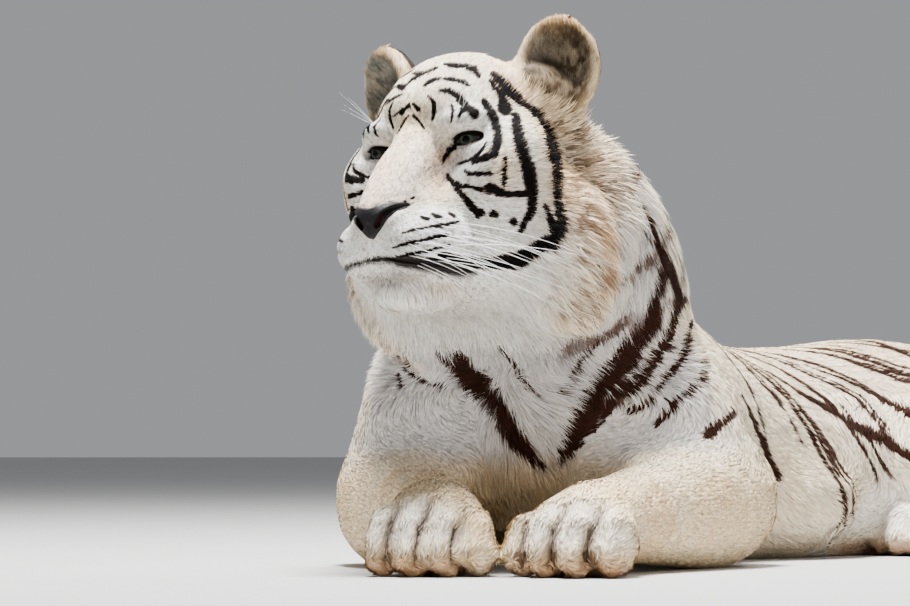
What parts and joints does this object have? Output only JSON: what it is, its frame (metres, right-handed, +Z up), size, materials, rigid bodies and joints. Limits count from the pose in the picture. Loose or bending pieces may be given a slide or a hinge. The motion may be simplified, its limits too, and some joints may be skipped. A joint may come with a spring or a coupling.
{
  "type": "white tiger",
  "caption": "Life-size still model of an adult white tiger lying on its chest, head up and turned right, forepaws forward, hindquarters and tail curved to its left",
  "frame": {"origin": "bottom centre of the bounding box, on the floor", "axes": "+Z up; the chest faces -Y and the hindquarters lie towards +Y; +X is the animal's left, to which the hindquarters and tail curve"},
  "size_m": [1.2168, 1.5498, 0.6413],
  "materials": {
    "coat": "short dense cream-white fur with dark brown stripes",
    "nose_leather": "bare, finely pebbled, slightly moist nose skin",
    "eye": "glossy grey-green glass eye with a dark round pupil"
  },
  "bodies": {
    "root": {"head": "coat", "jaw": "coat", "nose": "nose_leather", "ear_left": "coat", "ear_right": "coat", "eye_left": "eye", "eye_right": "eye", "neck": "coat", "trunk_front": "coat", "trunk_rear": "coat", "foreleg_left": "coat", "foreleg_right": "coat", "forepaw_left": "coat", "forepaw_right": "coat", "hindleg_left": "coat", "hindleg_right": "coat", "hindpaw_left": "coat", "hindpaw_right": "coat", "tail_root": "coat", "tail_end": "coat"}
  },
  "joints": []
}
